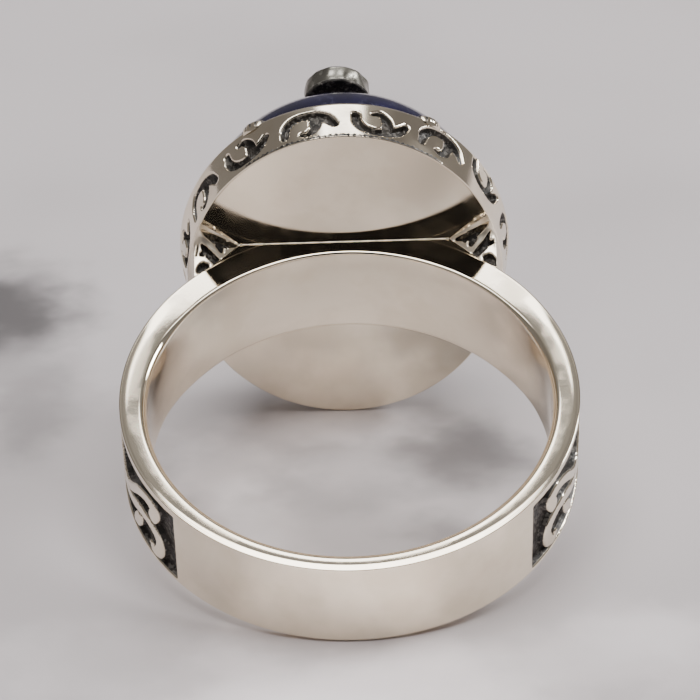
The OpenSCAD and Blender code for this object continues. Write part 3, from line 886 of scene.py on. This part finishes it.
def addBoss():
    n, r, t, e = bossShape["around"], bossShape["r"], bossShape["t"], bossShape["round"]
    # each row's third number is how dark it is painted: full on the post and back face as painted shade, half on the
    # lower rounding, none on the side and top
    rows = [(bossShape["postR"], -bossShape["postDeep"], 1), (bossShape["postR"], 0.0, 1)]
    rows += [(q, 0.0, 1) for q in np.linspace(bossShape["backFrom"], r - e * 0.5, bossShape["backRows"])]
    rows += [(r - e * 0.5 + e * 0.5 * math.sin(a), e * 0.5 * (1 - math.cos(a)), 0.5)
             for a in np.radians([30, 60, 90])]
    rows += [(r, h, 0) for h in np.linspace(e * 0.5, t - e, bossShape["sideRows"])[1:]]
    rows += [(r - e + e * math.cos(a), t - e + e * math.sin(a), 0)
             for a in np.radians(np.linspace(bossShape["roundFrom"], 90, bossShape["roundRows"]))]
    rows += [(q, t, 0) for q in bossShape["faceRings"]]
    points, carved = [], []
    for i in range(n):
        a = 2 * math.pi * i / n
        for q, h, dark in rows:
            # hammer marks: two waves round the disc, broken up by a third that climbs its side
            near = 0.5 * (math.sin(6 * a + 3 * h) + math.sin(11 * a - 4 * h + 2)) * math.sin(3 * h + 2 * a)
            dent = bossShape["dent"] * (near - 1) * min(1, q / r) ** 6 * (1 if h > 0 else 0)
            points.append(((q + dent) * math.cos(a), (q + dent) * math.sin(a), h))
            # painted shade on the back and post, and dark oxide in the dents
            carved.append(dark * bossShape["backPaintedShade"] + bossShape["dentDark"] * max(0, -near) * (1 - dark))
    m = len(rows)
    faces = tubeFaces(n, m, wrap=False)
    points += [(0, 0, -bossShape["postDeep"]), (0, 0, t)]
    carved += [1, 0]
    faces += middleFaces(n, m)
    piece = meshObject("hammeredBoss", points, faces, hammeredSilver, {"carved": ("FLOAT", carved)})
    lean = Matrix.Rotation(math.radians(bossShape["lean"] - 90), 4, "X")
    piece.data.transform(Matrix.Translation((bossShape["x"], rimY + bossShape["rise"], bossShape["z"])) @ lean)
    return settle(piece, "boss")


addBoss()
print("stone and boss made")

# Floor, world and lights

floorFinish = {
    "color": (0.525, 0.487, 0.496, 1), "blotch": (0.448, 0.413, 0.418, 1), "rough": 0.45,
    "size": 4, "below": 0.00002, "blotchScale": 34.0, "wispScale": 210.0, "wispBend": 0.009,   # in metres and per metre
}
# Soft clouds painted into the floor's colour, placed to follow the light and dark of the photo's floor: painted pools
# of light and painted shadow where the ring shades the floor and throws light onto it, with some of the marble's own
# tone. In millimetres: middle x and y, half width and half length, and how much lighter, or below zero darker, the
# floor is painted there
floorLightAndShade = [
    (-18.5, 21.5, 6.5, 8.0, -0.80), (-16.5, 11.0, 5.0, 8.0, -0.38), (5.6, 4.8, 5.2, 6.5, -0.58),
    (-6.0, 3.5, 4.5, 5.5, 0.62), (0.0, -16.5, 14.0, 8.0, 0.82), (14.0, -13.0, 7.0, 6.0, 0.36),
    (-14.0, -13.0, 6.0, 6.0, 0.26), (0.5, 1.0, 5.5, 3.5, -0.22), (-2.0, 8.2, 7.0, 3.6, 0.60),
    (5.5, -3.5, 4.0, 4.0, -0.42), (-5.0, -3.0, 4.0, 4.0, 0.15),
]


def addFloor():
    bpy.ops.mesh.primitive_plane_add(size=floorFinish["size"])
    floor = bpy.context.object
    floor.name = "floor"
    floor.location = (0, 0, -floorFinish["below"])
    material, w, shader = principled("paleFloor")
    links = material.node_tree.links
    place = w.add("ShaderNodeTexCoord").outputs["Object"]
    blotch = w.add("ShaderNodeTexNoise", {"Vector": place, "Scale": floorFinish["blotchScale"],
                                          "Detail": 2.0}).outputs["Fac"]
    stone = w.mix(w.smooth(blotch, 0.4, 0.7), floorFinish["color"], floorFinish["blotch"])
    # wisps bend the edges of the clouds
    wisp = w.add("ShaderNodeTexNoise", {"Vector": place, "Scale": floorFinish["wispScale"],
                                        "Detail": 3.0}).outputs["Color"]
    aside = w.add("ShaderNodeVectorMath", {0: wisp, 1: (0.5, 0.5, 0.5)}, operation="SUBTRACT").outputs[0]
    wavy = w.add("ShaderNodeVectorMath", {0: aside, "Scale": floorFinish["wispBend"]},
                 operation="SCALE").outputs[0]
    bent = w.add("ShaderNodeVectorMath", {0: place, 1: wavy}, operation="ADD").outputs[0]
    level = 1.0
    # each cloud scales the floor's colour: painted light and painted shadow round the ring, with some of the marble's
    # own tone
    for x, y, wide, long, change in floorLightAndShade:
        near = w.add("ShaderNodeMapping", {"Vector": bent, "Location": (-x / wide, -y / long, 0.0),
                                           "Scale": (1 / wide / mm, 1 / long / mm, 0.0)}).outputs["Vector"]
        far = w.add("ShaderNodeVectorMath", {0: near}, operation="LENGTH").outputs["Value"]
        level = w.math("ADD", level, w.smooth(far, 1.0, 0.1, 0.0, change))
    links.new(w.add("ShaderNodeVectorMath", {0: stone, "Scale": level}, operation="SCALE").outputs[0],
              shader.inputs["Base Color"])
    shader.inputs["Roughness"].default_value = floorFinish["rough"]
    floor.data.materials.append(material)


addFloor()

# A grey room, with a fixed dark patch in the direction of the photo's camera
surroundings = {
    "above": (0.33, 0.32, 0.31, 1), "aside": (0.18, 0.17, 0.165, 1), "horizon": (0.22, 0.21, 0.205, 1),
    "camera": (0.009, 0.009, 0.010, 1), "darkFrom": 0.90, "darkTo": 0.935,
    "asideFrom": 0.3, "asideTo": 0.55, "aboveFrom": 0.6, "boxFrom": 0.1,
}
# Each box: how far it leans back from overhead, half width and half length with their soft edges, and its light
boxes = [
    {"lean": -13.0, "wide": (0.42, 0.06), "long": (0.33, 0.03), "light": (6.8, 6.7, 6.65, 1)},
    {"lean": 29.9, "wide": (0.22, 0.06), "long": (0.085, 0.01), "light": (5.5, 5.45, 5.4, 1)},
]


def addWorld():
    world = bpy.data.worlds.new("studio")
    bpy.context.scene.world = world
    world.use_nodes = True
    world.node_tree.nodes.clear()
    w = Wiring(world.node_tree)
    way = w.add("ShaderNodeTexCoord").outputs["Generated"]
    parts = w.add("ShaderNodeSeparateXYZ", {"Vector": way})
    sideways = w.smooth(w.math("ABSOLUTE", parts.outputs["X"]), surroundings["asideFrom"],
                        surroundings["asideTo"])
    high = w.mix(sideways, surroundings["above"], surroundings["aside"])
    sky = w.mix(w.smooth(parts.outputs["Z"], 0.0, surroundings["aboveFrom"]), surroundings["horizon"], high)
    toCamera = camera.matrix_world.translation.normalized()
    facing = w.add("ShaderNodeVectorMath", {0: way, 1: toCamera}, operation="DOT_PRODUCT").outputs["Value"]
    dark = w.smooth(facing, surroundings["darkFrom"], surroundings["darkTo"])
    room = w.mix(dark, sky, surroundings["camera"])

    def within(value, size):
        half, soft = size
        return w.smooth(w.math("ABSOLUTE", value), half + soft, half - soft)
    for box in boxes:
        lean = math.radians(box["lean"])
        along = w.add("ShaderNodeVectorMath", {0: way, 1: (0, math.cos(lean), -math.sin(lean))},
                      operation="DOT_PRODUCT").outputs["Value"]
        inBox = w.math("MULTIPLY", w.math("MULTIPLY", within(parts.outputs["X"], box["wide"]),
                                          within(along, box["long"])),
                       w.smooth(parts.outputs["Z"], 0.0, surroundings["boxFrom"]))
        room = w.mix(inBox, room, box["light"])
    back = w.add("ShaderNodeBackground", {"Color": room, "Strength": 1.0})
    out = w.add("ShaderNodeOutputWorld")
    world.node_tree.links.new(back.outputs[0], out.inputs[0])


addWorld()

lamps = [
    {"name": "keyRight", "at": (0.33, 0.10, 0.22), "aim": (0, 0, 0.008), "size": 0.12, "power": 1.2},
]


def addLamp(spec):
    data = bpy.data.lights.new(spec["name"], "AREA")
    data.energy, data.size = spec["power"], spec["size"]
    lamp = bpy.data.objects.new(spec["name"], data)
    bpy.context.scene.collection.objects.link(lamp)
    lamp.location = spec["at"]
    lamp.rotation_euler = (Vector(spec["aim"]) - lamp.location).to_track_quat("-Z", "Y").to_euler()


for spec in lamps:
    addLamp(spec)
print("floor and lights made")
